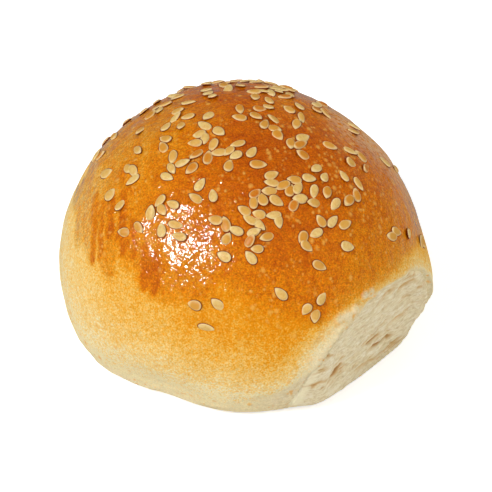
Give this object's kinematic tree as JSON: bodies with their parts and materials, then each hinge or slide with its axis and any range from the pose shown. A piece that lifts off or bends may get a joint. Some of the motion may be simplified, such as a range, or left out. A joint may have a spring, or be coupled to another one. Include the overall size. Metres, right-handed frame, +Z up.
{
  "type": "bread roll",
  "caption": "Soft round sesame bread roll with a domed egg-washed top, a pale flat underside and a torn crumb patch on one side.",
  "frame": {"origin": "on the underside, at the middle of the roll's bounding box", "axes": "+Z up, towards the domed top; -Y is the front; +X is the right, and the torn side faces the front right"},
  "size_m": [0.0888, 0.0862, 0.0582],
  "materials": {
    "crust": "soft baked crust, glossy and brown on top where it was egg-washed, pale and dull near the base",
    "crumb": "torn bread crumb, fibrous and dull",
    "sesame": "hulled sesame seed, satin"
  },
  "bodies": {
    "root": {"bread_roll": "crust"}
  },
  "joints": []
}
